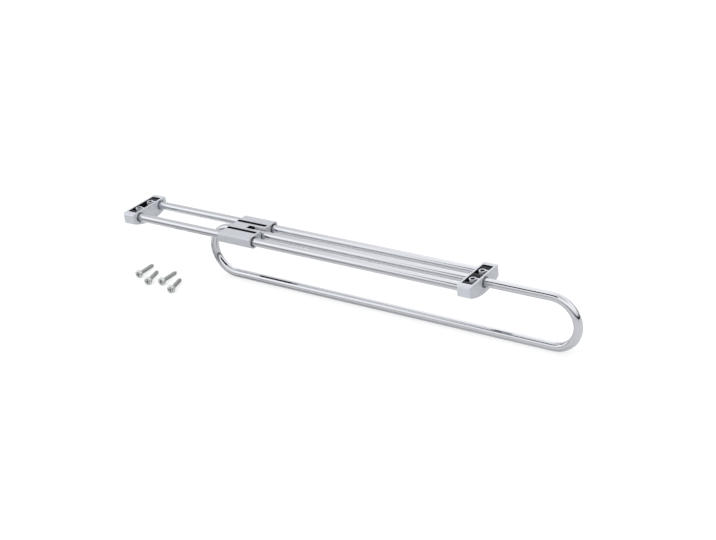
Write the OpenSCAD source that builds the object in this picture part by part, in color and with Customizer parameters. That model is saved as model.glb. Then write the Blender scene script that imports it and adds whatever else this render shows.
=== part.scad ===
// Pull-out clothes rail that is screwed to the underside of a wardrobe shelf.
// A carriage slides along two fixed guide rods and carries a closed hanging loop.
// X runs along the rail, +X is the way it pulls out, Y is across, +Z is up to the shelf.
// The origin is the centre of the front bracket's top face, between its two screw holes.

/* [Rail] */
// Length over the two end brackets
frame_l = 396; // [300:1:500]
// Diameter of the two guide rods
guide_d = 8; // [7:0.5:9]
// Clear gap between the loop's rod and each guide rod
rod_gap = 7.5; // [7:0.5:10]
// From the mounting face down to the top of the rods
rod_cover = 2; // [1.8:0.1:4]

/* [Hanging loop] */
// Length over the loop's two bends
loop_l = 398; // [340:1:480]
// Distance between the centre lines of the loop's two runs
loop_drop = 48; // [44:1:70]
// Diameter of the loop's rod
loop_d = 8; // [7:0.5:9]
// Length of the loop's front end inside the carriage
front_insert = 11; // [9:0.5:13]
// Length of the loop's rear end inside the carriage
rear_insert = 14; // [11:0.5:16]

/* [End brackets] */
// Length of each bracket along the rail
bracket_t = 14; // [13:0.5:18]
// Wall outside each guide rod at the bracket's ends
bracket_end_wall = 5.5; // [4:0.25:8]
// Radius of the bracket's upright corners
bracket_corner_r = 2.5; // [1.5:0.25:4]
// Rounding of the bracket's top edge at both ends
bracket_edge_r = 2.5; // [1:0.25:3]
// How far the curved underside drops below the bracket's ends
belly = 5.75; // [5.5:0.25:9]
// Width of the rim along the bracket's long sides
rim_side = 1.75; // [1.25:0.25:2.25]
// Width of the rim at the bracket's ends
rim_end = 6.25; // [4:0.25:7]
// From the middle of the rods down to the floor of the top recess
recess_below_axis = 3; // [1:0.25:4]
// Wall round each rod where it crosses the top recess
tunnel_wall = 1.3; // [0.8:0.1:1.5]
// Wall round each screw hole in the top recess
boss_wall = 0.95; // [0.8:0.05:1.2]
// Width of the web that joins each screw boss to the front wall
boss_web = 2; // [1.5:0.25:3]
// Width of the open ring round each guide rod where it enters a bracket
mouth_ring = 1.1; // [0.8:0.1:1.5]
// Depth of that ring
mouth_depth = 1.2; // [0.8:0.1:2]

/* [Carriage] */
// Length of the carriage
carriage_l = 40; // [36:1:60]
// Distance from the front bracket back to the carriage, as the rail is shown
front_gap = 225; // [60:1:260]
// Gap between the carriage and the shelf above it
shelf_gap = 0.5; // [0.3:0.1:1]
// Wall of each lobe outside its guide bush
lobe_wall = 1.85; // [1.6:0.05:3]
// Rounding of the top along both sides
shoulder_r = 3; // [1:0.25:3.5]
// Rounding of the top at the rear
nose_r = 4.5; // [3:0.25:5]
// Body below the loop's rod
sole = 1.5; // [1.2:0.1:3]
// Radius of the upright corners at the rear
carriage_rear_r = 2.5; // [1:0.25:3]
// Radius of the upright corners at the front
carriage_front_r = 1; // [0.5:0.25:2]
// Wall between the loop's rod and each slot
core_wall = 2.05; // [1.5:0.05:2.5]
// Wall between each slot and its guide bush
web_wall = 0.8; // [0.7:0.05:1.5]
// Body left at each end of a slot
slot_margin = 2.5; // [1.5:0.25:5]
// Floor left under a slot
slot_floor = 1.5; // [1:0.25:3]
// Width of the open channel over the loop's front end
channel_w = 5.8; // [4:0.2:6.5]
// Length of that channel
channel_l = 18.5; // [15:0.5:20]

/* [Bushes] */
// Wall of the four guide bushes
bush_wall = 0.6; // [0.5:0.05:0.8]
// Length of each guide bush
bush_l = 9; // [6:0.5:11]
// How deep each guide bush sits inside the end of its bore
bush_set_back = 2; // [1:0.25:3]
// Wall of the bush that guides the loop in the front bracket
loop_bush_wall = 0.95; // [0.7:0.05:1.1]
// Thickness of that bush's collar
collar_t = 0.6; // [0.4:0.1:1.2]
// How far the collar stands out past the bush
collar_step = 0.3; // [0.2:0.05:0.6]

/* [Pins and screws] */
// Diameter of the spring pins that lock the rods
pin_d = 3; // [2:0.5:3.5]
// Wall of a spring pin
pin_wall = 0.6; // [0.4:0.1:0.8]
// Rod metal left above a pin
pin_cover = 1; // [0.8:0.1:2]
// Diameter of the fixing screws over the thread
screw_d = 4; // [3.5:0.5:4.5]
// Length of a fixing screw under its head
screw_l = 25; // [18:1:35]
// Diameter of the screw heads
head_d = 8; // [7:0.25:8.5]
// Height of the screw heads
head_h = 2.6; // [2.2:0.1:3]
// Length of a screw's point
point_l = 3.5; // [3:0.25:6]
// Width of the cross recess in a screw head
cross_w = 1; // [0.6:0.1:1.2]

/* [Clearances] */
// Gap round a rod that slides in a bush
running = 0.05; // [0.03:0.01:0.1]
// Gap round a rod, bush or pin that stays where it is
seated = 0.02; // [0.01:0.01:0.03]
// Gap round a screw in its hole
screw_play = 0.25; // [0.2:0.05:0.4]
// Gap round a screw head in its recess
head_play = 0.3; // [0.2:0.05:0.5]
// Length left free where a rod or pin ends in a blind hole
end_play = 0.2; // [0.1:0.05:0.4]

/* [Hidden] */
$fn = 64;
// Overshoot of every cut past the face that it opens
cut = 1;
guide_r = guide_d / 2;
loop_r = loop_d / 2;
// Centre distance of each guide rod from the middle of the rail
guide_y = loop_r + rod_gap + guide_r;
// Centre line of all rods, below the mounting face
axis_z = -(max(guide_r, loop_r) + rod_cover);
rear_x = -(frame_l - bracket_t);
rod_chamfer = 0.5;

// End brackets
bracket_w = 2 * (guide_y + guide_r + bracket_end_wall);
// The underside starts level with the bottom of the guide rods
bracket_end_z = axis_z - guide_r;
belly_r = (pow(bracket_w / 2, 2) + pow(belly, 2)) / (2 * belly);
belly_centre_z = bracket_end_z - belly + belly_r;
recess_l = bracket_t - 2 * rim_side;
recess_w = bracket_w - 2 * rim_end;
recess_z = axis_z - recess_below_axis;
recess_corner_r = 1;
socket_r = guide_r + seated;
socket_depth = bracket_t - rim_side;
guide_end = socket_depth - end_play;
loop_bush_r = loop_r + running + loop_bush_wall;
loop_bore_r = loop_bush_r + seated;
// Screw holes run midway between the loop's bush and each guide rod's socket
screw_y = (loop_bore_r + guide_y - socket_r) / 2;
screw_hole_r = screw_d / 2 + screw_play;
boss_r = screw_hole_r + boss_wall;
boss_web_shift = 1.2;
head_seat_z = axis_z - loop_bore_r - 0.5;
head_recess_r = head_d / 2 + head_play;
pin_r = pin_d / 2;
pin_hole_r = pin_r + seated;
pin_slit = 0.5;
// How far the lower end of a pin passes the rod that it locks
pin_reach = 1.5;
guide_pin_top = axis_z + guide_r - pin_cover;
guide_pin_l = 2 * guide_r + pin_reach;

// Carriage and loop, as the rail is shown
carriage_front_x = -bracket_t / 2 - front_gap;
carriage_rear_x = carriage_front_x - carriage_l;
carriage_top = -shelf_gap;
bush_r = guide_r + running + bush_wall;
bush_bore_r = bush_r + seated;
rod_free_r = guide_r + (running + bush_wall) / 2;
lobe_r = bush_r + lobe_wall;
lobe_z = axis_z - lobe_r;
carriage_w = 2 * (guide_y + lobe_r);
sole_z = axis_z - loop_r - sole;
loop_hole_r = loop_r + seated;
slot_in = loop_hole_r + core_wall;
slot_out = guide_y - bush_bore_r - web_wall;
slot_l = carriage_l - 2 * slot_margin;
loop_pin_top = axis_z + loop_r - pin_cover;
loop_pin_l = loop_pin_top - sole_z;
front_pin_x = carriage_front_x - front_insert / 2;
rear_pin_x = carriage_rear_x + rear_insert / 2;
// Dark recessed rings round the rods at the carriage's mouths
loop_mouth_gap = 0.9;
lobe_mouth_gap = 0.6;
loop_mouth_r = loop_hole_r + loop_mouth_gap;
loop_mouth_depth = 1;
lobe_mouth_r = bush_bore_r + lobe_mouth_gap;
lobe_mouth_depth = 1;
bush_depth = bush_set_back + bush_l;
rear_bush_x = carriage_rear_x + bush_set_back;
front_bush_x = carriage_front_x - bush_depth;
bend_r = loop_drop / 2;
rear_bend_x = carriage_rear_x;
front_bend_x = rear_bend_x + loop_l - loop_drop - loop_d;
low_z = axis_z - loop_drop;

// Fixing screws lie loose on the surface that the loop stands on
floor_z = low_z - loop_r;
screw_r = screw_d / 2;
head_r = head_d / 2;
head_edge_r = 1.6;
cross_depth = 1.7;
cross_l = head_d * 0.55;
screw_tilt = atan((head_r - screw_r) / (screw_l - point_l));
// Place of each screw's head on the surface, and the way its point lies
screw_places = [[-363, -42, 99], [-344, -50, 111], [-330.5, -45, 98], [-311, -54, 110]];

// A cylinder along X, from x for a length l
module bar(x, y, z, l, r) {
    translate([x, y, z]) rotate([0, 90, 0]) cylinder(h = l, r = r);
}

// A round rod along +Z from the origin, with a small chamfer at both ends
module chamfered_rod(l, r, c) {
    rotate_extrude() polygon([[0, 0], [r - c, 0], [r, c], [r, l - c], [r - c, l], [0, l]]);
}

// A rectangle centred on the origin with four round corners
module round_plan(l, w, r) {
    square([l - 2 * r, w], center = true);
    square([l, w - 2 * r], center = true);
    for (sx = [-1, 1], sy = [-1, 1]) translate([sx * (l / 2 - r), sy * (w / 2 - r)]) circle(r);
}

// End view of a flat-topped shape whose two top edges are round
module round_shoulders(w, low, high, r) {
    translate([-w / 2, low]) square([w, high - r - low]);
    translate([r - w / 2, low]) square([w - 2 * r, high - low]);
    for (side = [-1, 1]) translate([side * (w / 2 - r), high - r]) circle(r);
}

// Block of one bracket: round upright corners, round top ends and one curved underside
module bracket_block() {
    intersection() {
        translate([0, 0, bracket_end_z - 2 * belly])
            linear_extrude(height = 2 * belly - bracket_end_z) round_plan(bracket_t, bracket_w, bracket_corner_r);
        translate([-bracket_t, 0, 0]) rotate([90, 0, 90]) linear_extrude(height = 2 * bracket_t)
            round_shoulders(bracket_w, bracket_end_z - 2 * belly, 0, bracket_edge_r);
        bar(-bracket_t, 0, belly_centre_z, 2 * bracket_t, belly_r, $fn = 180);
    }
}

// Pocket in the top of a bracket, less what stands in it
module bracket_recess(has_loop) {
    difference() {
        translate([0, 0, recess_z])
            linear_extrude(height = cut - recess_z) round_plan(recess_l, recess_w, recess_corner_r);
        for (side = [-1, 1]) {
            bar(-bracket_t, side * guide_y, axis_z, 2 * bracket_t, socket_r + tunnel_wall);
            translate([0, side * screw_y, recess_z - cut]) cylinder(h = cut - recess_z, r = boss_r);
            translate([0, side * screw_y + boss_web_shift - boss_web / 2, recess_z - cut])
                cube([bracket_t, boss_web, cut - recess_z]);
        }
        if (has_loop) bar(-bracket_t, 0, axis_z, 2 * bracket_t, loop_bore_r + tunnel_wall / 2);
    }
}

// One end bracket; inward is +1 where the rods leave it towards +X
module bracket(inward, has_loop) {
    difference() {
        bracket_block();
        bracket_recess(has_loop);
        for (side = [-1, 1]) {
            // Socket of the guide rod, with an open ring at its mouth
            translate([inward * bracket_t / 2, side * guide_y, axis_z]) rotate([0, -inward * 90, 0]) {
                translate([0, 0, -cut]) cylinder(h = socket_depth + cut, r = socket_r);
                translate([0, 0, -cut]) cylinder(h = mouth_depth + cut, r = socket_r + mouth_ring);
            }
            // Hole of the pin that locks the rod, driven in from below
            translate([0, side * guide_y, bracket_end_z - 2 * belly])
                cylinder(h = guide_pin_top + end_play - bracket_end_z + 2 * belly, r = pin_hole_r);
            // Screw hole, and the recess of the screw's head below it
            translate([0, side * screw_y, bracket_end_z - 2 * belly]) {
                cylinder(h = 2 * belly - bracket_end_z + cut, r = screw_hole_r);
                cylinder(h = head_seat_z - bracket_end_z + 2 * belly, r = head_recess_r);
            }
        }
        if (has_loop) bar(-bracket_t, 0, axis_z, 2 * bracket_t, loop_bore_r);
    }
}

module rear_bracket() {
    color("silver") translate([rear_x, 0, 0]) bracket(1, false);
}

module front_bracket() {
    color("silver") bracket(-1, true);
}

// A guide rod, drilled from below at each end for its pin
module guide_rod(side) {
    first = rear_x + bracket_t / 2 - guide_end;
    last = -bracket_t / 2 + guide_end;
    color("gainsboro") difference() {
        translate([first, side * guide_y, axis_z]) rotate([0, 90, 0])
            chamfered_rod(last - first, guide_r, rod_chamfer);
        for (x = [rear_x, 0]) translate([x, side * guide_y, axis_z - guide_r - cut])
            cylinder(h = guide_pin_top + end_play - axis_z + guide_r + cut, r = pin_hole_r);
    }
}

module near_guide_rod() {
    guide_rod(-1);
}

module far_guide_rod() {
    guide_rod(1);
}

// A slit spring pin with its top at z, standing on the centre line of a rod
module spring_pin(x, y, top, l) {
    color("dimgray") translate([x, y, top - l]) difference() {
        cylinder(h = l, r = pin_r);
        translate([0, 0, -cut]) cylinder(h = l + 2 * cut, r = pin_r - pin_wall);
        translate([-pin_slit / 2, 0, -cut]) cube([pin_slit, pin_d, l + 2 * cut]);
    }
}

module rear_near_rod_pin() {
    spring_pin(rear_x, -guide_y, guide_pin_top, guide_pin_l);
}

module rear_far_rod_pin() {
    spring_pin(rear_x, guide_y, guide_pin_top, guide_pin_l);
}

module front_near_rod_pin() {
    spring_pin(0, -guide_y, guide_pin_top, guide_pin_l);
}

module front_far_rod_pin() {
    spring_pin(0, guide_y, guide_pin_top, guide_pin_l);
}

// A plain sleeve along X from x for a length l
module sleeve(x, y, l, bore_r, wall) {
    difference() {
        bar(x, y, axis_z, l, bore_r + wall);
        bar(x - cut, y, axis_z, l + 2 * cut, bore_r);
    }
}

module front_loop_bush() {
    bore_r = loop_r + running;
    color("darkslategray") {
        sleeve(-bracket_t / 2, 0, bracket_t, bore_r, loop_bush_wall);
        sleeve(bracket_t / 2, 0, collar_t, bore_r, loop_bush_wall + collar_step);
    }
}

// A guide bush that runs from x towards +X
module guide_bush(x, side) {
    color("darkslategray") sleeve(x, side * guide_y, bush_l, guide_r + running, bush_wall);
}

module rear_near_bush() {
    guide_bush(rear_bush_x, -1);
}

module rear_far_bush() {
    guide_bush(rear_bush_x, 1);
}

module front_near_bush() {
    guide_bush(front_bush_x, -1);
}

module front_far_bush() {
    guide_bush(front_bush_x, 1);
}

// Cross-section of the carriage: a lobe round the lower half of each guide rod, flat on top
module carriage_section() {
    for (side = [-1, 1]) translate([side * guide_y, axis_z]) circle(lobe_r);
    translate([-guide_y, sole_z]) square([2 * guide_y, axis_z - sole_z]);
    round_shoulders(carriage_w, axis_z, carriage_top, shoulder_r);
}

// Side view of the carriage, from x = 0 at the rear, with its round nose
module carriage_side(low) {
    translate([0, low]) square([carriage_l, carriage_top - nose_r - low]);
    translate([nose_r, low]) square([carriage_l - nose_r, carriage_top - low]);
    translate([nose_r, carriage_top - nose_r]) circle(nose_r);
}

// Plan of the carriage, from x = 0 at the rear, with its own corner radius at each end
module carriage_plan() {
    rear = carriage_rear_r;
    front = carriage_front_r;
    translate([rear, -carriage_w / 2]) square([carriage_l - rear - front, carriage_w]);
    translate([0, rear - carriage_w / 2]) square([carriage_l / 2, carriage_w - 2 * rear]);
    translate([carriage_l / 2, front - carriage_w / 2]) square([carriage_l / 2, carriage_w - 2 * front]);
    for (side = [-1, 1]) {
        translate([rear, side * (carriage_w / 2 - rear)]) circle(rear);
        translate([carriage_l - front, side * (carriage_w / 2 - front)]) circle(front);
    }
}

module carriage_body() {
    lowest = lobe_z - cut;
    color("silver") difference() {
        intersection() {
            translate([carriage_rear_x, 0, lowest])
                linear_extrude(height = carriage_top + cut - lowest) carriage_plan();
            translate([carriage_rear_x - cut, 0, 0]) rotate([90, 0, 90])
                linear_extrude(height = carriage_l + 2 * cut) carriage_section();
            translate([carriage_rear_x, carriage_w, 0]) rotate([90, 0, 0])
                linear_extrude(height = 2 * carriage_w) carriage_side(lowest);
        }
        for (side = [-1, 1]) {
            // Way of the guide rod, wider at both ends for the bushes
            bar(carriage_rear_x - cut, side * guide_y, axis_z, carriage_l + 2 * cut, rod_free_r);
            bar(carriage_rear_x - cut, side * guide_y, axis_z, bush_depth + cut, bush_bore_r);
            bar(carriage_front_x - bush_depth, side * guide_y, axis_z, bush_depth + cut, bush_bore_r);
            bar(carriage_front_x - lobe_mouth_depth, side * guide_y, axis_z, lobe_mouth_depth + cut, lobe_mouth_r);
            // Long slot in the top, between the guide rod and the loop's rod
            translate([carriage_rear_x + slot_margin, side * (slot_in + slot_out) / 2, sole_z + slot_floor])
                translate([0, -(slot_out - slot_in) / 2, 0])
                    cube([slot_l, slot_out - slot_in, carriage_top - sole_z]);
        }
        // Hole that takes both ends of the loop, with an open ring at the front
        bar(carriage_rear_x - cut, 0, axis_z, carriage_l + 2 * cut, loop_hole_r);
        bar(carriage_front_x - loop_mouth_depth, 0, axis_z, loop_mouth_depth + cut, loop_mouth_r);
        translate([carriage_front_x - channel_l, -channel_w / 2, axis_z])
            cube([channel_l + cut, channel_w, cut - axis_z]);
        for (x = [front_pin_x, rear_pin_x]) translate([x, 0, lowest])
            cylinder(h = loop_pin_top + end_play - lowest, r = pin_hole_r);
    }
}

// One bend of the loop, half a turn about Y; way is +1 for the front bend
module loop_bend(x, way) {
    translate([x, 0, axis_z - bend_r]) rotate([90, 0, 0]) rotate([0, 0, way > 0 ? -90 : 90])
        rotate_extrude(angle = 180, $fn = 128) translate([bend_r, 0]) circle(loop_r, $fn = 48);
}

// One rod: rear end, rear bend, lower run, front bend and upper run back to the carriage
module hanging_loop() {
    color("gainsboro") difference() {
        union() {
            translate([carriage_rear_x + rear_insert, 0, axis_z]) rotate([0, -90, 0])
                cylinder(h = rear_insert, r = loop_r);
            loop_bend(rear_bend_x, -1);
            bar(rear_bend_x, 0, low_z, front_bend_x - rear_bend_x, loop_r);
            loop_bend(front_bend_x, 1);
            bar(carriage_front_x - front_insert, 0, axis_z,
                front_bend_x - carriage_front_x + front_insert, loop_r);
        }
        for (x = [front_pin_x, rear_pin_x]) translate([x, 0, axis_z - loop_r - cut])
            cylinder(h = loop_pin_top + end_play - axis_z + loop_r + cut, r = pin_hole_r);
    }
}

module loop_front_pin() {
    spring_pin(front_pin_x, 0, loop_pin_top, loop_pin_l);
}

module loop_rear_pin() {
    spring_pin(rear_pin_x, 0, loop_pin_top, loop_pin_l);
}

// A pan-head screw along +Z from the middle of its head's face, with a cross recess
module pan_screw() {
    difference() {
        union() {
            rotate_extrude() intersection() {
                union() {
                    translate([0, 0]) square([head_r - head_edge_r, head_h]);
                    translate([0, head_edge_r]) square([head_r, head_h - head_edge_r]);
                    translate([head_r - head_edge_r, head_edge_r]) circle(head_edge_r);
                }
                square([head_r, head_h]);
            }
            translate([0, 0, head_h]) cylinder(h = screw_l - point_l, r = screw_r);
            translate([0, 0, head_h + screw_l - point_l]) cylinder(h = point_l, r1 = screw_r, r2 = screw_r / 8);
        }
        for (turn = [0, 90]) rotate([0, 0, turn])
            translate([-cross_l / 2, -cross_w / 2, -cut]) cube([cross_l, cross_w, cross_depth + cut]);
    }
}

// A screw at rest on the surface, on the edge of its head and the end of its thread
module fixing_screw(i) {
    place = screw_places[i];
    color("lightgray") translate([place[0], place[1], floor_z]) rotate([0, 0, place[2]])
        rotate([0, 90 + screw_tilt, 0]) translate([-head_r, 0, -head_h]) pan_screw();
}

module fixing_screw_1() {
    fixing_screw(0);
}

module fixing_screw_2() {
    fixing_screw(1);
}

module fixing_screw_3() {
    fixing_screw(2);
}

module fixing_screw_4() {
    fixing_screw(3);
}

rear_bracket();
front_bracket();
near_guide_rod();
far_guide_rod();
front_loop_bush();
rear_near_rod_pin();
rear_far_rod_pin();
front_near_rod_pin();
front_far_rod_pin();
carriage_body();
rear_near_bush();
rear_far_bush();
front_near_bush();
front_far_bush();
hanging_loop();
loop_front_pin();
loop_rear_pin();
fixing_screw_1();
fixing_screw_2();
fixing_screw_3();
fixing_screw_4();
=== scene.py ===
import math

import bmesh
import bpy
from mathutils import Matrix, Vector


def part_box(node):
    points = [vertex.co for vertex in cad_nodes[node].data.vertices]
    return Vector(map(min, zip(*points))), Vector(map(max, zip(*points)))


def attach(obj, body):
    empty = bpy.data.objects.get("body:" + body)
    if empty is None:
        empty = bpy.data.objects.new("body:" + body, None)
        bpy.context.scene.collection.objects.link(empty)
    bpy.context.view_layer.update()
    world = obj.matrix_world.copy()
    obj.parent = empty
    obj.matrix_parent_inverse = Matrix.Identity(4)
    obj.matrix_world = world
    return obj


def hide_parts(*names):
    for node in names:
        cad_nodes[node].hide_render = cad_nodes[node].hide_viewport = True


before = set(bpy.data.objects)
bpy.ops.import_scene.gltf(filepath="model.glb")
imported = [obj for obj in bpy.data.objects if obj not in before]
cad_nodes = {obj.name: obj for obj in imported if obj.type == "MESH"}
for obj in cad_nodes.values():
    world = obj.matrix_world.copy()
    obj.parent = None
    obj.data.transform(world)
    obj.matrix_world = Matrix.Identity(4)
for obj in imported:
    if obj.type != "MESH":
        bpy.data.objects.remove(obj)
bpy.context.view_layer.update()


# Guide rods
# Two straight 8 mm rods of drawn steel, ground, polished and chromium plated.
# Each stands in a blind socket of both end brackets and is locked there by a pin.

MM = 0.001
COLOUR_A, COLOUR_B = 6, 7  # inputs of a Mix node when it mixes colours


def linear(code):
    """The shader's linear colour for an sRGB hex colour, as it is seen."""
    seen = [int(code[i:i + 2], 16) / 255 for i in (0, 2, 4)]
    return [c / 12.92 if c <= 0.04045 else ((c + 0.055) / 1.055) ** 2.4 for c in seen] + [1.0]


def add(tree, kind, settings, feeds):
    """Adds a node: settings are its properties, feeds its inputs, as values or nodes' outputs."""
    made = tree.nodes.new(kind)
    for name, value in settings.items():
        if name == "stops":
            ramp = made.color_ramp.elements
            while len(ramp) < len(value):
                ramp.new(0.5)
            for stop, (place, colour) in zip(ramp, value):
                stop.position, stop.color = place, colour
        else:
            setattr(made, name, value)
    for name, value in feeds.items():
        if isinstance(value, bpy.types.NodeSocket):
            tree.links.new(value, made.inputs[name])
        else:
            made.inputs[name].default_value = value
    return made


def new_finish(name):
    """An empty material and its tree, and the place on the part in the part's own frame."""
    finish = bpy.data.materials.new(name)
    finish.use_nodes = True
    tree = finish.node_tree
    tree.nodes.clear()
    place = add(tree, "ShaderNodeTexCoord", {}, {}).outputs["Object"]
    return finish, tree, place


def coat_node(node, finish):
    """Puts a finish on a CAD node that stays."""
    slots = cad_nodes[node].data.materials
    for i in range(len(slots)):
        slots[i] = finish


# Bright chromium on polished steel: a grey mirror, a little blue, with a faint
# haze left by polishing, in streaks along the rod, and long shallow waves. It shows
# little but the room round it, in bands along the rod.
CHROME = "d4d6da"
CHROME_HAZED = "c8cacf"
HAZE_GRAIN = 0.5 * MM      # real polishing lines are some 0.02 mm apart; wider so that they show
HAZE_LENGTH = 9 * MM
WAVE = 14 * MM
WAVE_DEPTH = 0.02 * MM
MIRROR_ROUGH = (0.03, 0.07)

chrome, tree, place = new_finish("chromium_plate_on_drawn_steel")
along = add(tree, "ShaderNodeMapping", {},
            {"Vector": place, "Scale": (HAZE_GRAIN / HAZE_LENGTH, 1, 1)})
haze = add(tree, "ShaderNodeTexNoise", {},
           {"Vector": along.outputs[0], "Scale": 1 / HAZE_GRAIN, "Detail": 3.0, "Roughness": 0.6})
wave = add(tree, "ShaderNodeTexNoise", {}, {"Vector": place, "Scale": 1 / WAVE, "Detail": 1.0})
colour = add(tree, "ShaderNodeMix", {"data_type": "RGBA"},
             {0: haze.outputs["Fac"], COLOUR_A: linear(CHROME), COLOUR_B: linear(CHROME_HAZED)})
rough = add(tree, "ShaderNodeMapRange", {},
            {"Value": haze.outputs["Fac"], "To Min": MIRROR_ROUGH[0], "To Max": MIRROR_ROUGH[1]})
ripple = add(tree, "ShaderNodeBump", {},
             {"Height": wave.outputs["Fac"], "Strength": 0.3, "Distance": WAVE_DEPTH})
shader = add(tree, "ShaderNodeBsdfPrincipled", {},
             {"Base Color": colour.outputs[2], "Metallic": 1.0, "Roughness": rough.outputs[0],
              "Normal": ripple.outputs[0]})
add(tree, "ShaderNodeOutputMaterial", {}, {"Surface": shader.outputs[0]})
for node in ("near_guide_rod", "far_guide_rod"):
    coat_node(node, chrome)


# End brackets
# Injection moulded in black ABS and sprayed with silver lacquer from outside. Recesses,
# sockets and screw holes are drawn black, partly as the bare moulding and partly as
# painted shade in these hollows. Two screws go up through each.


def middle(node):
    """The middle of a CAD node at rest."""
    low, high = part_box(node)
    return (low + high) / 2


REAR_BRACKET_X = middle("rear_bracket").x  # the front bracket's middle is at 0
HALF_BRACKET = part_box("front_bracket")[1].x
GUIDE_Y = middle("far_guide_rod").y
ROD_Z = middle("far_guide_rod").z
RECESS_HALF_X = 5.25 * MM
RECESS_HALF_Y = 18.75 * MM
RECESS_FLOOR = -9 * MM
SOCKET_R = 4.15 * MM
SCREW_Y = 8.25 * MM
SCREW_HOLE_R = 2.25 * MM
SCREW_HOLE_END = -17.6 * MM
SCREW_SEAT_Z = -11.3 * MM
SCREW_SEAT_R = 4.3 * MM
SCREW_SEAT_END = -14.7 * MM
BOSS_R = 3.45 * MM
# Past the spray's reach the moulding is drawn black, partly bare and partly painted shade
SPRAYED_BOSS = 3 * MM      # height of each boss that the spray reaches
SPRAYED_HOLE = 0.8 * MM    # depth that it reaches in the screw holes
SPRAYED_EDGE = 0.25 * MM   # and at the edge of every other opening
SPRAY_FADE = 0.2 * MM      # width of the soft edge where the spray stops
EDGE_R = 0.5 * MM          # rounding that the mould and the lacquer leave on every edge
EDGE_ANGLE = math.radians(40)


def soften(node):
    """Rounds the sharp edges of a moulding."""
    rounding = cad_nodes[node].modifiers.new("soft_edges", "BEVEL")
    rounding.width, rounding.segments = EDGE_R, 2
    rounding.limit_method, rounding.angle_limit = "ANGLE", EDGE_ANGLE
    rounding.harden_normals = True


def faded(tree, past):
    """1 up to the edge of a hollow and 0 past the spray's soft edge round it."""
    return add(tree, "ShaderNodeMapRange", {},
               {"Value": past, "From Min": SPRAY_FADE, "From Max": 0.0}).outputs[0]


def kept_in_box(tree, place, low, high):
    """1 inside a box of the part's frame, 0 outside it."""
    low, high = Vector(low), Vector(high)
    off = add(tree, "ShaderNodeVectorMath", {"operation": "SUBTRACT"},
              {0: place, 1: (low + high) / 2})
    size = add(tree, "ShaderNodeVectorMath", {"operation": "ABSOLUTE"}, {0: off.outputs[0]})
    past = add(tree, "ShaderNodeVectorMath", {"operation": "SUBTRACT"},
               {0: size.outputs[0], 1: (high - low) / 2})
    past = add(tree, "ShaderNodeSeparateXYZ", {}, {0: past.outputs[0]})
    wide = add(tree, "ShaderNodeMath", {"operation": "MAXIMUM"},
               {0: past.outputs[0], 1: past.outputs[1]})
    most = add(tree, "ShaderNodeMath", {"operation": "MAXIMUM"},
               {0: wide.outputs[0], 1: past.outputs[2]})
    return faded(tree, most.outputs[0])


def kept_in_bore(tree, place, start, end, radius):
    """1 inside a round hole along one axis of the part's frame, 0 outside it."""
    start, end = Vector(start), Vector(end)
    across = [float(a == b) for a, b in zip(start, end)]
    off = add(tree, "ShaderNodeVectorMath", {"operation": "SUBTRACT"},
              {0: place, 1: (start + end) / 2})
    flat = add(tree, "ShaderNodeVectorMath", {"operation": "MULTIPLY"},
               {0: off.outputs[0], 1: across})
    reach = add(tree, "ShaderNodeVectorMath", {"operation": "LENGTH"}, {0: flat.outputs[0]})
    side = add(tree, "ShaderNodeMath", {"operation": "SUBTRACT"},
               {0: reach.outputs["Value"], 1: radius})
    axis = add(tree, "ShaderNodeVectorMath", {"operation": "SUBTRACT"},
               {0: off.outputs[0], 1: flat.outputs[0]})
    deep = add(tree, "ShaderNodeVectorMath", {"operation": "LENGTH"}, {0: axis.outputs[0]})
    beyond = add(tree, "ShaderNodeMath", {"operation": "SUBTRACT"},
                 {0: deep.outputs["Value"], 1: (end - start).length / 2})
    most = add(tree, "ShaderNodeMath", {"operation": "MAXIMUM"},
               {0: side.outputs[0], 1: beyond.outputs[0]})
    return faded(tree, most.outputs[0])


def together(tree, masks):
    """1 where any of the masks is 1."""
    found = masks[0]
    for mask in masks[1:]:
        found = add(tree, "ShaderNodeMath", {"operation": "MAXIMUM"},
                    {0: found, 1: mask}).outputs[0]
    return found


# Silver lacquer over black ABS: a satin metallic grey with fine bright flakes and
# the slight orange peel of a sprayed coat; black where the spray can't reach, partly
# bare moulding and partly painted shade in hollows and under the carriage.
SILVER = "c4c7cd"
SILVER_FLAKE = "cbced4"
MOULDING_BLACK_AND_SHADE = "15161d"
METALLIC = 0.38            # the flakes' share of the coat
SATIN_ROUGH = (0.4, 0.5)
BARE_ROUGH = 0.55
FLAKE = 0.3 * MM           # real flakes are some 0.03 mm across; larger so that they show
ORANGE_PEEL = 1.6 * MM
PEEL_DEPTH = 0.015 * MM


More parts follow.
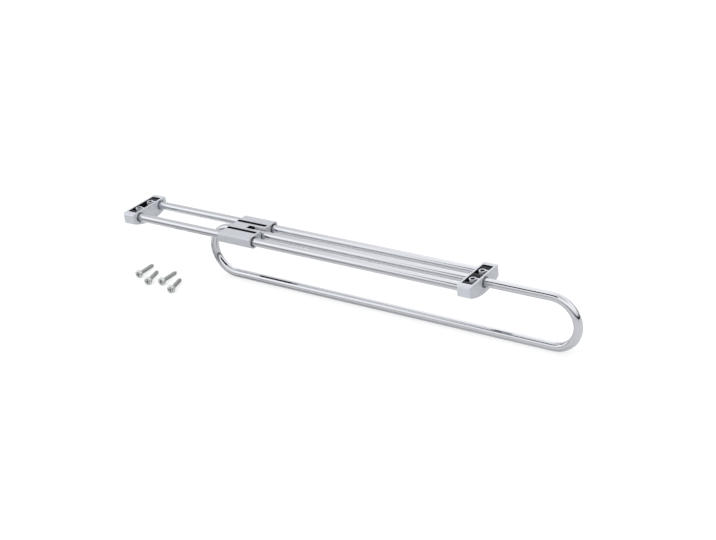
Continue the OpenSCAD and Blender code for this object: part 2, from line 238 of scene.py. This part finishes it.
def silver_lacquer(tree, place, bare_and_shade, coat, flake):
    cells = add(tree, "ShaderNodeTexVoronoi", {"feature": "F1"},
                {"Vector": place, "Scale": 1 / FLAKE})
    glint = add(tree, "ShaderNodeSeparateColor", {}, {0: cells.outputs["Color"]})
    peel = add(tree, "ShaderNodeTexNoise", {},
               {"Vector": place, "Scale": 1 / ORANGE_PEEL, "Detail": 2.0})
    silver = add(tree, "ShaderNodeMix", {"data_type": "RGBA"},
                 {0: glint.outputs[0], COLOUR_A: linear(coat), COLOUR_B: linear(flake)})
    colour = add(tree, "ShaderNodeMix", {"data_type": "RGBA"},
                 {0: bare_and_shade, COLOUR_A: silver.outputs[2], COLOUR_B: linear(MOULDING_BLACK_AND_SHADE)})
    metal = add(tree, "ShaderNodeMapRange", {}, {"Value": bare_and_shade, "To Min": METALLIC, "To Max": 0.0})
    satin = add(tree, "ShaderNodeMapRange", {},
                {"Value": glint.outputs[1], "To Min": SATIN_ROUGH[0], "To Max": SATIN_ROUGH[1]})
    rough = add(tree, "ShaderNodeMix", {"data_type": "FLOAT"},
                {0: bare_and_shade, 2: satin.outputs[0], 3: BARE_ROUGH})
    skin = add(tree, "ShaderNodeBump", {},
               {"Height": peel.outputs["Fac"], "Strength": 0.2, "Distance": PEEL_DEPTH})
    shader = add(tree, "ShaderNodeBsdfPrincipled", {},
                 {"Base Color": colour.outputs[2], "Metallic": metal.outputs[0],
                  "Roughness": rough.outputs[0], "Normal": skin.outputs[0],
                  "Specular IOR Level": 0.3})
    add(tree, "ShaderNodeOutputMaterial", {}, {"Surface": shader.outputs[0]})


# Both brackets are alike, so the black places, bare moulding and painted shade, are drawn
# once, on the far half of the front bracket, and folded over to its near half and to the rear
# bracket.
bracket_lacquer, tree, place = new_finish("silver_lacquer_on_black_abs_painted_shade_bracket")
spot = add(tree, "ShaderNodeSeparateXYZ", {}, {0: place})
from_middle = add(tree, "ShaderNodeMath", {"operation": "SUBTRACT"},
                  {0: spot.outputs[0], 1: REAR_BRACKET_X / 2})
folded = add(tree, "ShaderNodeMath", {"operation": "ABSOLUTE"}, {0: from_middle.outputs[0]})
from_bracket = add(tree, "ShaderNodeMath", {"operation": "ADD"},
                   {0: folded.outputs[0], 1: REAR_BRACKET_X / 2})
one_side = add(tree, "ShaderNodeMath", {"operation": "ABSOLUTE"}, {0: spot.outputs[1]})
here = add(tree, "ShaderNodeCombineXYZ", {},
           {0: from_bracket.outputs[0], 1: one_side.outputs[0], 2: spot.outputs[2]}).outputs[0]
recess = kept_in_box(tree, here, (-RECESS_HALF_X, -RECESS_HALF_Y, RECESS_FLOOR),
                     (RECESS_HALF_X, RECESS_HALF_Y, -SPRAYED_EDGE))
boss = kept_in_bore(tree, here, (0, SCREW_Y, 0), (0, SCREW_Y, -SPRAYED_BOSS), BOSS_R)
off_boss = add(tree, "ShaderNodeMath", {"operation": "SUBTRACT"}, {0: 1.0, 1: boss})
recess = add(tree, "ShaderNodeMath", {"operation": "MULTIPLY"}, {0: recess, 1: off_boss.outputs[0]})
socket_x = HALF_BRACKET - SPRAYED_EDGE
# Black in the recess, the sockets and the screw holes: bare moulding and painted shade
bare_and_shade = together(tree, [
    recess.outputs[0],
    kept_in_bore(tree, here, (-socket_x, GUIDE_Y, ROD_Z), (socket_x, GUIDE_Y, ROD_Z), SOCKET_R),
    kept_in_bore(tree, here, (0, SCREW_Y, -SPRAYED_HOLE), (0, SCREW_Y, SCREW_HOLE_END),
                 SCREW_HOLE_R),
    kept_in_bore(tree, here, (0, SCREW_Y, SCREW_SEAT_Z), (0, SCREW_Y, SCREW_SEAT_END),
                 SCREW_SEAT_R)])
silver_lacquer(tree, place, bare_and_shade, SILVER, SILVER_FLAKE)
for node in ("rear_bracket", "front_bracket"):
    coat_node(node, bracket_lacquer)
    soften(node)


# Carriage
# One moulding in the same black ABS and silver lacquer. It slides on the guide rods
# on four bushes and holds both ends of the loop; two long slots thin its walls.

CARRIAGE_LOW, CARRIAGE_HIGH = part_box("carriage_body")
SLOT_INSET = 2.4 * MM      # wall left at both ends of each slot
SLOT_Y = (5.95 * MM, 10.15 * MM)
CHANNEL_X = (21.4 * MM, 27.2 * MM)  # from the carriage's rear end
CHANNEL_HALF_Y = 3 * MM
HOLLOW_FLOOR = -10.1 * MM
LOBE_BORE_R = 4.5 * MM
LOOP_BORE_R = 4.3 * MM
CARRIAGE_SILVER_SHADED = "b9bbc2"  # painted shade: the brackets' silver drawn darker on the carriage
CARRIAGE_FLAKE_SHADED = "c0c2c8"
PAINTED_SHADE_UNDERSIDE = (-0.75, -0.95)  # painted shade: faces turned further down than this are drawn black

carriage_lacquer, tree, place = new_finish("silver_lacquer_on_black_abs_painted_shade_carriage")
spot = add(tree, "ShaderNodeSeparateXYZ", {}, {0: place})
one_side = add(tree, "ShaderNodeMath", {"operation": "ABSOLUTE"}, {0: spot.outputs[1]})
here = add(tree, "ShaderNodeCombineXYZ", {},
           {0: spot.outputs[0], 1: one_side.outputs[0], 2: spot.outputs[2]}).outputs[0]
facing = add(tree, "ShaderNodeNewGeometry", {}, {})
facing = add(tree, "ShaderNodeSeparateXYZ", {}, {0: facing.outputs["Normal"]})
painted_shade_under = add(tree, "ShaderNodeMapRange", {},
            {"Value": facing.outputs[2], "From Min": PAINTED_SHADE_UNDERSIDE[0], "From Max": PAINTED_SHADE_UNDERSIDE[1]})
rear_end, front_end = CARRIAGE_LOW.x, CARRIAGE_HIGH.x
hollow_top = CARRIAGE_HIGH.z - SPRAYED_EDGE
bore_rear = rear_end + SPRAYED_EDGE
bore_front = front_end - SPRAYED_EDGE
# Painted shade on faces turned down; in the slots, the channel and the bores, bare moulding and
# painted shade
bare_and_shade = together(tree, [
    painted_shade_under.outputs[0],
    kept_in_box(tree, here, (rear_end + SLOT_INSET, SLOT_Y[0], HOLLOW_FLOOR),
                (front_end - SLOT_INSET, SLOT_Y[1], hollow_top)),
    kept_in_box(tree, here, (rear_end + CHANNEL_X[0], -CHANNEL_HALF_Y, HOLLOW_FLOOR),
                (rear_end + CHANNEL_X[1], CHANNEL_HALF_Y, hollow_top)),
    kept_in_bore(tree, here, (bore_rear, GUIDE_Y, ROD_Z), (bore_front, GUIDE_Y, ROD_Z),
                 LOBE_BORE_R),
    kept_in_bore(tree, here, (bore_rear, 0, ROD_Z), (bore_front, 0, ROD_Z), LOOP_BORE_R)])
# The carriage's silver is drawn darker than the brackets' as painted shade
silver_lacquer(tree, place, bare_and_shade, CARRIAGE_SILVER_SHADED, CARRIAGE_FLAKE_SHADED)
coat_node("carriage_body", carriage_lacquer)
soften("carriage_body")


# Bushes
# Turned sleeves of black acetal, pressed into the carriage and the front bracket.
# They guide the rods, and the loop's bush shows as a dark collar on the bracket.

ACETAL = "505358"
ACETAL_RUBBED = "787b80"
RUB = 2 * MM
TOOL_MARK = 0.25 * MM      # feed of the lathe tool, some 0.08 mm on the real piece; wider to show
TOOL_MARK_DEPTH = 0.02 * MM
WAXY_ROUGH = (0.32, 0.5)

# Black acetal, turned and rubbed grey by the rods: waxy, patchy, with the lathe's fine rings.
acetal, tree, place = new_finish("turned_black_acetal")
rings = add(tree, "ShaderNodeTexWave", {"wave_type": "BANDS", "bands_direction": "X"},
            {"Vector": place, "Scale": 1 / TOOL_MARK / (2 * math.pi), "Distortion": 0.4})
rub = add(tree, "ShaderNodeTexNoise", {}, {"Vector": place, "Scale": 1 / RUB, "Detail": 3.0})
colour = add(tree, "ShaderNodeMix", {"data_type": "RGBA"},
             {0: rub.outputs["Fac"], COLOUR_A: linear(ACETAL), COLOUR_B: linear(ACETAL_RUBBED)})
rough = add(tree, "ShaderNodeMapRange", {},
            {"Value": rub.outputs["Fac"], "To Min": WAXY_ROUGH[0], "To Max": WAXY_ROUGH[1]})
turned = add(tree, "ShaderNodeBump", {},
             {"Height": rings.outputs["Fac"], "Strength": 0.3, "Distance": TOOL_MARK_DEPTH})
shader = add(tree, "ShaderNodeBsdfPrincipled", {},
             {"Base Color": colour.outputs[2], "Roughness": rough.outputs[0], "IOR": 1.48,
              "Normal": turned.outputs[0]})
add(tree, "ShaderNodeOutputMaterial", {}, {"Surface": shader.outputs[0]})
for node in ("rear_near_bush", "rear_far_bush", "front_near_bush", "front_far_bush",
             "front_loop_bush"):
    coat_node(node, acetal)


# Hanging loop
# One 8 mm rod of the same chromed steel, bent into a closed flat loop after
# polishing; hangers hang on its lower run, and both its ends go into the carriage.

coat_node("hanging_loop", chrome)


# Spring pins
# Slit sleeves rolled from spring steel strip, hardened and oiled dark, driven in
# from below: four lock the guide rods in the brackets, two the loop in the carriage.

PIN_DARK = "4a4b4f"
PIN_LIGHT = "6b6c70"
TEMPER = 0.8 * MM          # size of the cloudy patches that hardening leaves
OILED_ROUGH = (0.3, 0.5)

# Oiled spring steel: dark blue-grey metal, uneven from hardening.
oiled_steel, tree, place = new_finish("hardened_oiled_spring_steel")
temper = add(tree, "ShaderNodeTexNoise", {}, {"Vector": place, "Scale": 1 / TEMPER, "Detail": 4.0})
colour = add(tree, "ShaderNodeMix", {"data_type": "RGBA"},
             {0: temper.outputs["Fac"], COLOUR_A: linear(PIN_DARK), COLOUR_B: linear(PIN_LIGHT)})
rough = add(tree, "ShaderNodeMapRange", {},
            {"Value": temper.outputs["Fac"], "To Min": OILED_ROUGH[0], "To Max": OILED_ROUGH[1]})
shader = add(tree, "ShaderNodeBsdfPrincipled", {},
             {"Base Color": colour.outputs[2], "Metallic": 1.0, "Roughness": rough.outputs[0]})
add(tree, "ShaderNodeOutputMaterial", {}, {"Surface": shader.outputs[0]})
for node in ("rear_near_rod_pin", "rear_far_rod_pin", "front_near_rod_pin", "front_far_rod_pin",
             "loop_front_pin", "loop_rear_pin"):
    coat_node(node, oiled_steel)


# Fixing screws
# Four 4 x 25 mm cross-recessed wood screws, cold headed and thread rolled from wire
# and zinc plated. They come loose with the rail and lie on the table before it.

HEAD_R = 4 * MM
HEAD_H = 2.6 * MM
HEAD_EDGE = 1.6 * MM       # rounding of the head's face
HEAD_LIP = 0.25 * MM       # bevel under the head's rim
SHANK_R = 2 * MM
SHANK = 25 * MM
CORE_R = 1.6 * MM
NECK = 0.5 * MM            # fillet between head and shank
NECK_H = 1.2 * MM
POINT = 3.5 * MM
POINT_R = 0.15 * MM
PITCH = 1.9 * MM
PLAIN_TURNS = 0.6          # of the thread's spiral, below the head
RIDGE = 0.36               # half of the ridge's share of the pitch
POINT_CREST = 0.25         # height of the thread at the point, as a share of the full height
RUN_OUT = 0.8 * MM
CROSS_DEPTH = 1.9 * MM
CROSS_START = -0.3 * MM    # just above the head's face
CROSS_ARM = 2.6 * MM
CROSS_FLOOR_ARM = 1.5 * MM
CROSS_SHARE = 0.227        # half width of an arm over its length
ROUND = 32                 # points round the screw
ROWS = 12                  # points along one turn of the thread
FACE_RINGS = 3             # rings of faces in the flat of the head
EDGE_STEP = 15             # degrees of the head's rounding from ring to ring
SHARP = math.radians(50)   # a steeper edge stays sharp
JOIN = 0.003 * MM          # points closer than this become one
SPLINTER = 0.001 * MM      # shorter edges are taken out
FLOOR_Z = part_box("hanging_loop")[0].z  # the loop's lower run rests on the table
SCREW_TILT = math.atan((HEAD_R - SHANK_R) / (SHANK - POINT))
# Place of each screw's head on the table in mm, and the way that its point lies
SCREW_PLACES = ((-363, -42, 99), (-344, -50, 111), (-330.5, -45, 98), (-311, -54, 110))

# Light colour, dull colour and metallic
ZINC_HEAD = ("e2e4e3", "bcbfbf", 0.85)
ZINC_THREAD = ("b8bbba", "868988", 0.9)
ZINC_CLOUD = 1.5 * MM
ZINC_DEPTH = 0.02 * MM
ZINC_ROUGH = (0.15, 0.32)


# Zinc plate, clear passivated: a grey metal, cloudy and slightly uneven. The struck
# head is the brighter; the rolled thread is duller and keeps some oil.
def zinc_plate(name, light, dull, metallic):
    finish, tree, place = new_finish(name)
    cloud = add(tree, "ShaderNodeTexNoise", {},
                {"Vector": place, "Scale": 1 / ZINC_CLOUD, "Detail": 4.0, "Roughness": 0.65})
    colour = add(tree, "ShaderNodeMix", {"data_type": "RGBA"},
                 {0: cloud.outputs["Fac"], COLOUR_A: linear(light), COLOUR_B: linear(dull)})
    rough = add(tree, "ShaderNodeMapRange", {},
                {"Value": cloud.outputs["Fac"], "To Min": ZINC_ROUGH[0], "To Max": ZINC_ROUGH[1]})
    grain = add(tree, "ShaderNodeBump", {},
                {"Height": cloud.outputs["Fac"], "Strength": 0.3, "Distance": ZINC_DEPTH})
    shader = add(tree, "ShaderNodeBsdfPrincipled", {},
                 {"Base Color": colour.outputs[2], "Metallic": metallic,
                  "Roughness": rough.outputs[0], "Normal": grain.outputs[0]})
    add(tree, "ShaderNodeOutputMaterial", {}, {"Surface": shader.outputs[0]})
    return finish


def round_point(r, step, z):
    """A point at radius r and height z, a number of steps round the screw's axis."""
    angle = 2 * math.pi * step / ROUND
    return Vector((r * math.cos(angle), r * math.sin(angle), z))


def thread_radius(along, row):
    """Radius of the shank at a distance below the head, at one row of a turn of the thread."""
    if along >= SHANK:
        return 0.0
    taper = min(1.0, (SHANK - along) / POINT)
    neck = NECK * max(0.0, 1 - along / NECK_H)
    core = CORE_R * taper ** 0.5 + POINT_R * (1 - taper) + neck
    crest = (SHANK_R - CORE_R) * min(1.0, max(0.0, along / PITCH - PLAIN_TURNS))
    crest *= POINT_CREST + (1 - POINT_CREST) * taper
    crest *= max(0.0, min(1.0, (SHANK - along) / RUN_OUT))
    return core + crest * max(0.0, 1 - abs(row / ROWS - 0.5) / RIDGE)


def screw_surface():
    """Points and faces of one screw, from the middle of its head's face along +Z to its point."""
    flat_r = HEAD_R - HEAD_EDGE
    profile = [(flat_r * i / FACE_RINGS, 0.0) for i in range(1, FACE_RINGS)]
    for degrees in range(0, 91, EDGE_STEP):
        a = math.radians(degrees)
        profile.append((flat_r + HEAD_EDGE * math.sin(a), HEAD_EDGE * (1 - math.cos(a))))
    profile += [(HEAD_R, HEAD_H - HEAD_LIP), (HEAD_R - HEAD_LIP, HEAD_H), (CORE_R + NECK, HEAD_H)]
    points = [Vector((0, 0, 0))]
    for r, z in profile:
        points += [round_point(r, j, z) for j in range(ROUND)]
    faces = [(0, 1 + (j + 1) % ROUND, 1 + j) for j in range(ROUND)]
    for k in range(len(profile) - 1):
        a, b = 1 + k * ROUND, 1 + (k + 1) * ROUND
        faces += [(a + j, a + (j + 1) % ROUND, b + (j + 1) % ROUND, b + j) for j in range(ROUND)]
    # The spiral starts a turn above the head's underside and ends a turn past the point,
    # and is cut off flat at both
    first = len(points)
    rows = int(SHANK / PITCH * ROWS) + ROWS
    for k in range(-ROWS, rows + 1):
        for j in range(ROUND + 1):
            along = min(max((k / ROWS + j / ROUND) * PITCH, 0.0), SHANK)
            points.append(round_point(thread_radius(along, k % ROWS), j, HEAD_H + along))
    for k in range(rows + ROWS):
        for j in range(ROUND):
            a, b = first + k * (ROUND + 1) + j, first + (k + 1) * (ROUND + 1) + j
            faces.append((a, a + 1, b + 1, b))
    return points, faces


def cross_recess():
    """The driver's cross as a closed tapering plug, from above the head's face to its depth."""
    quarter = [(1, CROSS_SHARE), (CROSS_SHARE, CROSS_SHARE), (CROSS_SHARE, 1)]
    outline = []
    for _ in range(4):
        outline += quarter
        quarter = [(-y, x) for x, y in quarter]
    points = []
    for z, arm in ((CROSS_START, CROSS_ARM), (CROSS_DEPTH, CROSS_FLOOR_ARM)):
        points += [Vector((x * arm, y * arm, z)) for x, y in outline]
    n = len(outline)
    faces = [tuple(reversed(range(n))), tuple(range(n, 2 * n))]
    faces += [(j, (j + 1) % n, n + (j + 1) % n, n + j) for j in range(n)]
    return points, faces


def solid_from(name, points, faces):
    """An object whose shared points are joined and whose faces are all turned outwards."""
    mesh = bpy.data.meshes.new(name)
    mesh.from_pydata(points, [], faces)
    work = bmesh.new()
    work.from_mesh(mesh)
    bmesh.ops.remove_doubles(work, verts=work.verts, dist=JOIN)
    bmesh.ops.dissolve_degenerate(work, dist=SPLINTER, edges=work.edges)
    bmesh.ops.recalc_face_normals(work, faces=work.faces)
    work.to_mesh(mesh)
    work.free()
    solid = bpy.data.objects.new(name, mesh)
    bpy.context.scene.collection.objects.link(solid)
    return solid


blank = solid_from("screw_blank", *screw_surface())
punch = solid_from("punch", *cross_recess())
strike = blank.modifiers.new("cross", "BOOLEAN")
strike.object, strike.operation, strike.solver = punch, "DIFFERENCE", "EXACT"
bpy.context.view_layer.update()
struck = bpy.data.meshes.new_from_object(
    blank.evaluated_get(bpy.context.evaluated_depsgraph_get()))
for thing in (blank, punch):
    bpy.data.objects.remove(thing)
struck.materials.clear()
struck.materials.append(zinc_plate("bright_zinc_plate_struck_head", *ZINC_HEAD))
struck.materials.append(zinc_plate("dull_zinc_plate_rolled_thread", *ZINC_THREAD))
for face in struck.polygons:
    face.material_index = 1 if face.center.z > HEAD_H else 0
struck.shade_smooth()
struck.set_sharp_from_angle(angle=SHARP)

# Each screw lies on the edge of its head and on the end of its thread
lying = (Matrix.Rotation(math.radians(90) + SCREW_TILT, 4, "Y")
         @ Matrix.Translation((-HEAD_R, 0, -HEAD_H)))
for i, (x, y, turn) in enumerate(SCREW_PLACES):
    mesh = struck.copy()
    mesh.transform(Matrix.Translation((x * MM, y * MM, FLOOR_Z))
                   @ Matrix.Rotation(math.radians(turn), 4, "Z") @ lying)
    screw = bpy.data.objects.new(f"wood_screw_{i + 1}", mesh)
    bpy.context.scene.collection.objects.link(screw)
    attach(screw, "frame")
    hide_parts(f"fixing_screw_{i + 1}")


# Table
# A plain sheet of white laminate that the loop's lower run and the loose screws rest on.
# It is not part of the rail.

TABLE_HALF = 3.0           # metres, to reach past the picture from every side
# Painted shade on the table as the metal sees it, at each place across the rail, in mm from
# its middle. It is painted to fall off towards the camera; the dip at -8 is a painted line of
# shadow along the near side of the loop's lower run, which rests on the table.
TABLE_PAINTED_SHADE = ((-300, 0.32), (-160, 0.36), (-92, 0.53), (-60, 0.7), (-16, 0.84), (-8, 0.5),
               (-4.8, 0.5), (-1.2, 1.0), (20, 1.0), (68, 0.75))
TABLE_SPAN = (-300, 100)
EVEN_PAINTED_SHADE = 0.76          # towards the front end the painted shade is nearly even
EVEN_X = (-250 * MM, 50 * MM)
EVEN_MOST = 0.85
BOUNCE = 0.8               # albedo for diffuse light
TABLE_SEEN = 0.2           # for the camera, mostly covered by the glow below
PAINTED_SHADOW_REACH = 14 * MM     # how far the painted shadow round a thing reaches on the table
PAINTED_SHADOW_FULL = 0.45         # openness at which the painted shadow is at its darkest
TABLE_GLOW = (0.75, 0.845)  # strength for the camera, in the painted shadow and in the open
BLUENESS = 1.01

scene = bpy.context.scene
scene.view_settings.view_transform = "Standard"


def grey(level):
    """The neutral shade that the metal sees at a brightness, where 1 is white."""
    return (level, level, level * BLUENESS, 1)


def shades(levels, first, last):
    """Stops of a ramp from first to last, for pairs of a place on it and a brightness."""
    return [((spot - first) / (last - first), grey(level)) for spot, level in levels]


def sheet(name, corners):
    """A flat sheet with four corners."""
    mesh = bpy.data.meshes.new(name)
    mesh.from_pydata(corners, [], [(0, 1, 2, 3)])
    made = bpy.data.objects.new(name, mesh)
    scene.collection.objects.link(made)
    return made


# Matt white laminate. The camera sees it as a bright white glow with a faint painted shadow
# where things touch it; the metal sees it with painted shade that falls off towards the camera.
laminate, tree, place = new_finish("matt_white_laminate_painted_shade")
rays = add(tree, "ShaderNodeLightPath", {}, {})
seen = add(tree, "ShaderNodeMath", {"operation": "MAXIMUM"},
           {0: rays.outputs["Is Camera Ray"], 1: rays.outputs["Is Transmission Ray"]})
spot = add(tree, "ShaderNodeSeparateXYZ", {}, {0: place})
# Painted shade that only the metal sees: darker towards the camera, with a painted shadow line by
# the loop
ahead = add(tree, "ShaderNodeMapRange", {},
            {"Value": spot.outputs[1], "From Min": TABLE_SPAN[0] * MM,
             "From Max": TABLE_SPAN[1] * MM})
painted_falloff = add(tree, "ShaderNodeValToRGB", {"stops": shades(TABLE_PAINTED_SHADE, *TABLE_SPAN)},
            {0: ahead.outputs[0]})
even = add(tree, "ShaderNodeMapRange", {},
           {"Value": spot.outputs[0], "From Min": EVEN_X[0], "From Max": EVEN_X[1],
            "To Max": EVEN_MOST})
painted_falloff = add(tree, "ShaderNodeMix", {"data_type": "RGBA"},
            {0: even.outputs[0], COLOUR_A: painted_falloff.outputs[0], COLOUR_B: grey(EVEN_PAINTED_SHADE)})
albedo = add(tree, "ShaderNodeMix", {"data_type": "RGBA"},
             {0: rays.outputs["Is Glossy Ray"], COLOUR_A: grey(BOUNCE),
              COLOUR_B: painted_falloff.outputs[2]})
albedo = add(tree, "ShaderNodeMix", {"data_type": "RGBA"},
             {0: seen.outputs[0], COLOUR_A: albedo.outputs[2], COLOUR_B: grey(TABLE_SEEN)})
matt = add(tree, "ShaderNodeBsdfDiffuse", {}, {"Color": albedo.outputs[2]})
# Painted shadow: the camera's glow is dimmed where things come close to the table
nearness_for_painted_shadow = add(tree, "ShaderNodeAmbientOcclusion", {"samples": 8}, {"Distance": PAINTED_SHADOW_REACH})
lift = add(tree, "ShaderNodeMapRange", {},
           {"Value": nearness_for_painted_shadow.outputs["AO"], "From Min": PAINTED_SHADOW_FULL, "From Max": 1.0,
            "To Min": TABLE_GLOW[0], "To Max": TABLE_GLOW[1]})
lift = add(tree, "ShaderNodeMath", {"operation": "MULTIPLY"},
           {0: seen.outputs[0], 1: lift.outputs[0]})
glow = add(tree, "ShaderNodeEmission", {}, {"Strength": lift.outputs[0]})
both = add(tree, "ShaderNodeAddShader", {}, {0: matt.outputs[0], 1: glow.outputs[0]})
add(tree, "ShaderNodeOutputMaterial", {}, {"Surface": both.outputs[0]})

table = sheet("table_top", [(-TABLE_HALF, -TABLE_HALF, FLOOR_Z), (TABLE_HALF, -TABLE_HALF, FLOOR_Z),
                            (TABLE_HALF, TABLE_HALF, FLOOR_Z), (-TABLE_HALF, TABLE_HALF, FLOOR_Z)])
table.data.materials.append(laminate)


# Studio
# A white room as the metal mirrors it: dim low down on the camera's side and bright
# above, with its own walls towards the rear, the front and the loop's end. The camera
# itself sees plain white behind the rail.

# Brightness by the angle about the rail's length in degrees: 0 is level on the camera's
# side, 90 is straight up and 180 is level on the far side
REAR_WALLS = ((-10, 0.36), (1, 0.36), (8, 0.55), (14, 0.92), (24, 1.2), (36, 1.45),
              (56, 1.45), (68, 1.2), (88, 0.95), (104, 0.82), (150, 0.88), (180, 0.95))
FRONT_WALLS = ((-10, 0.55), (1, 0.62), (8, 0.72), (14, 0.95), (24, 1.1), (36, 1.25),
               (68, 1.25), (88, 1.3), (112, 1.3), (128, 1.25), (150, 1.5), (180, 1.2))
REAR_TO_FRONT = (-0.6, -0.48)
# The wall past the loop's front end, by the upward part of the direction
END_WALL = ((0.0, 0.04), (0.1, 0.04), (0.17, 0.6), (0.25, 0.95), (0.45, 1.3), (0.75, 1.3),
            (1.0, 0.8))
FRONT_TO_END = (-0.3, 0.1)
FILL = 0.75                # even light for lacquer and plastic

room = bpy.data.worlds.new("white_studio")
scene.world = room
room.use_nodes = True
tree = room.node_tree
tree.nodes.clear()
way = add(tree, "ShaderNodeTexCoord", {}, {})
way = add(tree, "ShaderNodeSeparateXYZ", {}, {0: way.outputs["Generated"]})
toward = add(tree, "ShaderNodeMath", {"operation": "MULTIPLY"}, {0: way.outputs[1], 1: -1.0})
angle = add(tree, "ShaderNodeMath", {"operation": "ARCTAN2"},
            {0: way.outputs[2], 1: toward.outputs[0]})
turn = add(tree, "ShaderNodeMapRange", {},
           {"Value": angle.outputs[0], "From Min": -math.pi, "From Max": math.pi})
rear_walls = add(tree, "ShaderNodeValToRGB", {"stops": shades(REAR_WALLS, -180, 180)},
                 {0: turn.outputs[0]})
front_walls = add(tree, "ShaderNodeValToRGB", {"stops": shades(FRONT_WALLS, -180, 180)},
                  {0: turn.outputs[0]})
to_front = add(tree, "ShaderNodeMapRange", {},
               {"Value": way.outputs[0], "From Min": REAR_TO_FRONT[0],
                "From Max": REAR_TO_FRONT[1]})
walls = add(tree, "ShaderNodeMix", {"data_type": "RGBA"},
            {0: to_front.outputs[0], COLOUR_A: rear_walls.outputs[0],
             COLOUR_B: front_walls.outputs[0]})
end_wall = add(tree, "ShaderNodeValToRGB", {"stops": shades(END_WALL, 0, 1)},
               {0: way.outputs[2]})
to_end = add(tree, "ShaderNodeMapRange", {},
             {"Value": way.outputs[0], "From Min": FRONT_TO_END[0], "From Max": FRONT_TO_END[1]})
walls = add(tree, "ShaderNodeMix", {"data_type": "RGBA"},
            {0: to_end.outputs[0], COLOUR_A: walls.outputs[2], COLOUR_B: end_wall.outputs[0]})
rays = add(tree, "ShaderNodeLightPath", {}, {})
mirrored = add(tree, "ShaderNodeBackground", {}, {"Color": walls.outputs[2], "Strength": 1.0})
fill = add(tree, "ShaderNodeBackground", {}, {"Color": (1, 1, 1, 1), "Strength": FILL})
white = add(tree, "ShaderNodeBackground", {}, {"Color": (1, 1, 1, 1), "Strength": 1.0})
lit = add(tree, "ShaderNodeMixShader", {},
          {0: rays.outputs["Is Glossy Ray"], 1: fill.outputs[0], 2: mirrored.outputs[0]})
seen = add(tree, "ShaderNodeMath", {"operation": "MAXIMUM"},
           {0: rays.outputs["Is Camera Ray"], 1: rays.outputs["Is Transmission Ray"]})
sky = add(tree, "ShaderNodeMixShader", {},
          {0: seen.outputs[0], 1: lit.outputs[0], 2: white.outputs[0]})
add(tree, "ShaderNodeOutputWorld", {}, {"Surface": sky.outputs[0]})

# Two soft square lamps, named with side in metres, power in watts and place. The metal
# doesn't see them, because the walls above already stand for the lit room.
LAMPS = (("soft_box", 0.9, 8.5, (-0.3, -0.85, 0.9)),
         ("back_light", 0.6, 3.5, (0.4, 0.85, 0.8)))
LAMPS_AIM = Vector((-0.16, 0, 0))
for name, side, power, stand in LAMPS:
    lamp = bpy.data.lights.new(name, "AREA")
    lamp.shape, lamp.size, lamp.energy = "SQUARE", side, power
    light = bpy.data.objects.new(name, lamp)
    scene.collection.objects.link(light)
    light.location = stand
    light.rotation_euler = (LAMPS_AIM - light.location).to_track_quat("-Z", "Y").to_euler()
    light.visible_glossy = False

# A black flag over the front end, which only the metal sees: it draws the thin dark
# line along the top of the loop's rod. Black cloth gives back next to nothing, and its
# fringe thins towards the rear, so that the line fades away there.
FLAG = ((-240, -128, 106), (70, -128, 106), (70, -68, 150), (-240, -68, 150))
FRINGE_X = (-240 * MM, -80 * MM)
FRINGE_POWER = 2.0         # the fringe thins faster than evenly
BLACK_CLOTH = 0.02

flag = sheet("flag", [Vector(corner) * MM for corner in FLAG])
flag.visible_camera = flag.visible_diffuse = flag.visible_shadow = False
black_cloth, tree, place = new_finish("black_flag_cloth")
spot = add(tree, "ShaderNodeSeparateXYZ", {}, {0: place})
fringe = add(tree, "ShaderNodeMapRange", {},
             {"Value": spot.outputs[0], "From Min": FRINGE_X[0], "From Max": FRINGE_X[1]})
fringe = add(tree, "ShaderNodeMath", {"operation": "POWER"},
             {0: fringe.outputs[0], 1: FRINGE_POWER})
cloth = add(tree, "ShaderNodeBsdfDiffuse", {}, {"Color": grey(BLACK_CLOTH)})
gap = add(tree, "ShaderNodeBsdfTransparent", {}, {})
cloth = add(tree, "ShaderNodeMixShader", {},
            {0: fringe.outputs[0], 1: gap.outputs[0], 2: cloth.outputs[0]})
add(tree, "ShaderNodeOutputMaterial", {}, {"Surface": cloth.outputs[0]})
flag.data.materials.append(black_cloth)


# Camera
# Placed as the photograph was taken: above and before the front end, turned
# slightly about its own axis. The image is 716 x 540.

AZIMUTH, ELEVATION, ROLL = math.radians(36.80), math.radians(26.52), math.radians(-6.106)
DISTANCE = 1218.73 * MM
FOCAL = 1424.18            # in pixels of the image's width
AIM = Vector((0, 0, ROD_Z))
AIM_PIXEL = (477.96, 280.60)
IMAGE = (716, 540)
SENSOR_W = 36
CLIP_START = 10 * MM

back = Vector((math.sin(AZIMUTH) * math.cos(ELEVATION), -math.cos(AZIMUTH) * math.cos(ELEVATION),
               math.sin(ELEVATION)))
level = Vector((math.cos(AZIMUTH), math.sin(AZIMUTH), 0))
upright = back.cross(level)
right = math.cos(ROLL) * level + math.sin(ROLL) * upright
up = -math.sin(ROLL) * level + math.cos(ROLL) * upright
across = (AIM_PIXEL[0] - IMAGE[0] / 2) / FOCAL * DISTANCE
down = (AIM_PIXEL[1] - IMAGE[1] / 2) / FOCAL * DISTANCE
stand = AIM + back * DISTANCE - right * across + up * down

lens = bpy.data.cameras.new("photograph")
lens.sensor_width = SENSOR_W
lens.lens = FOCAL * SENSOR_W / IMAGE[0]
lens.clip_start = CLIP_START
camera = bpy.data.objects.new("photograph", lens)
scene.collection.objects.link(camera)
camera.matrix_world = Matrix((
    (right.x, up.x, back.x, stand.x),
    (right.y, up.y, back.y, stand.y),
    (right.z, up.z, back.z, stand.z),
    (0, 0, 0, 1)))
scene.camera = camera
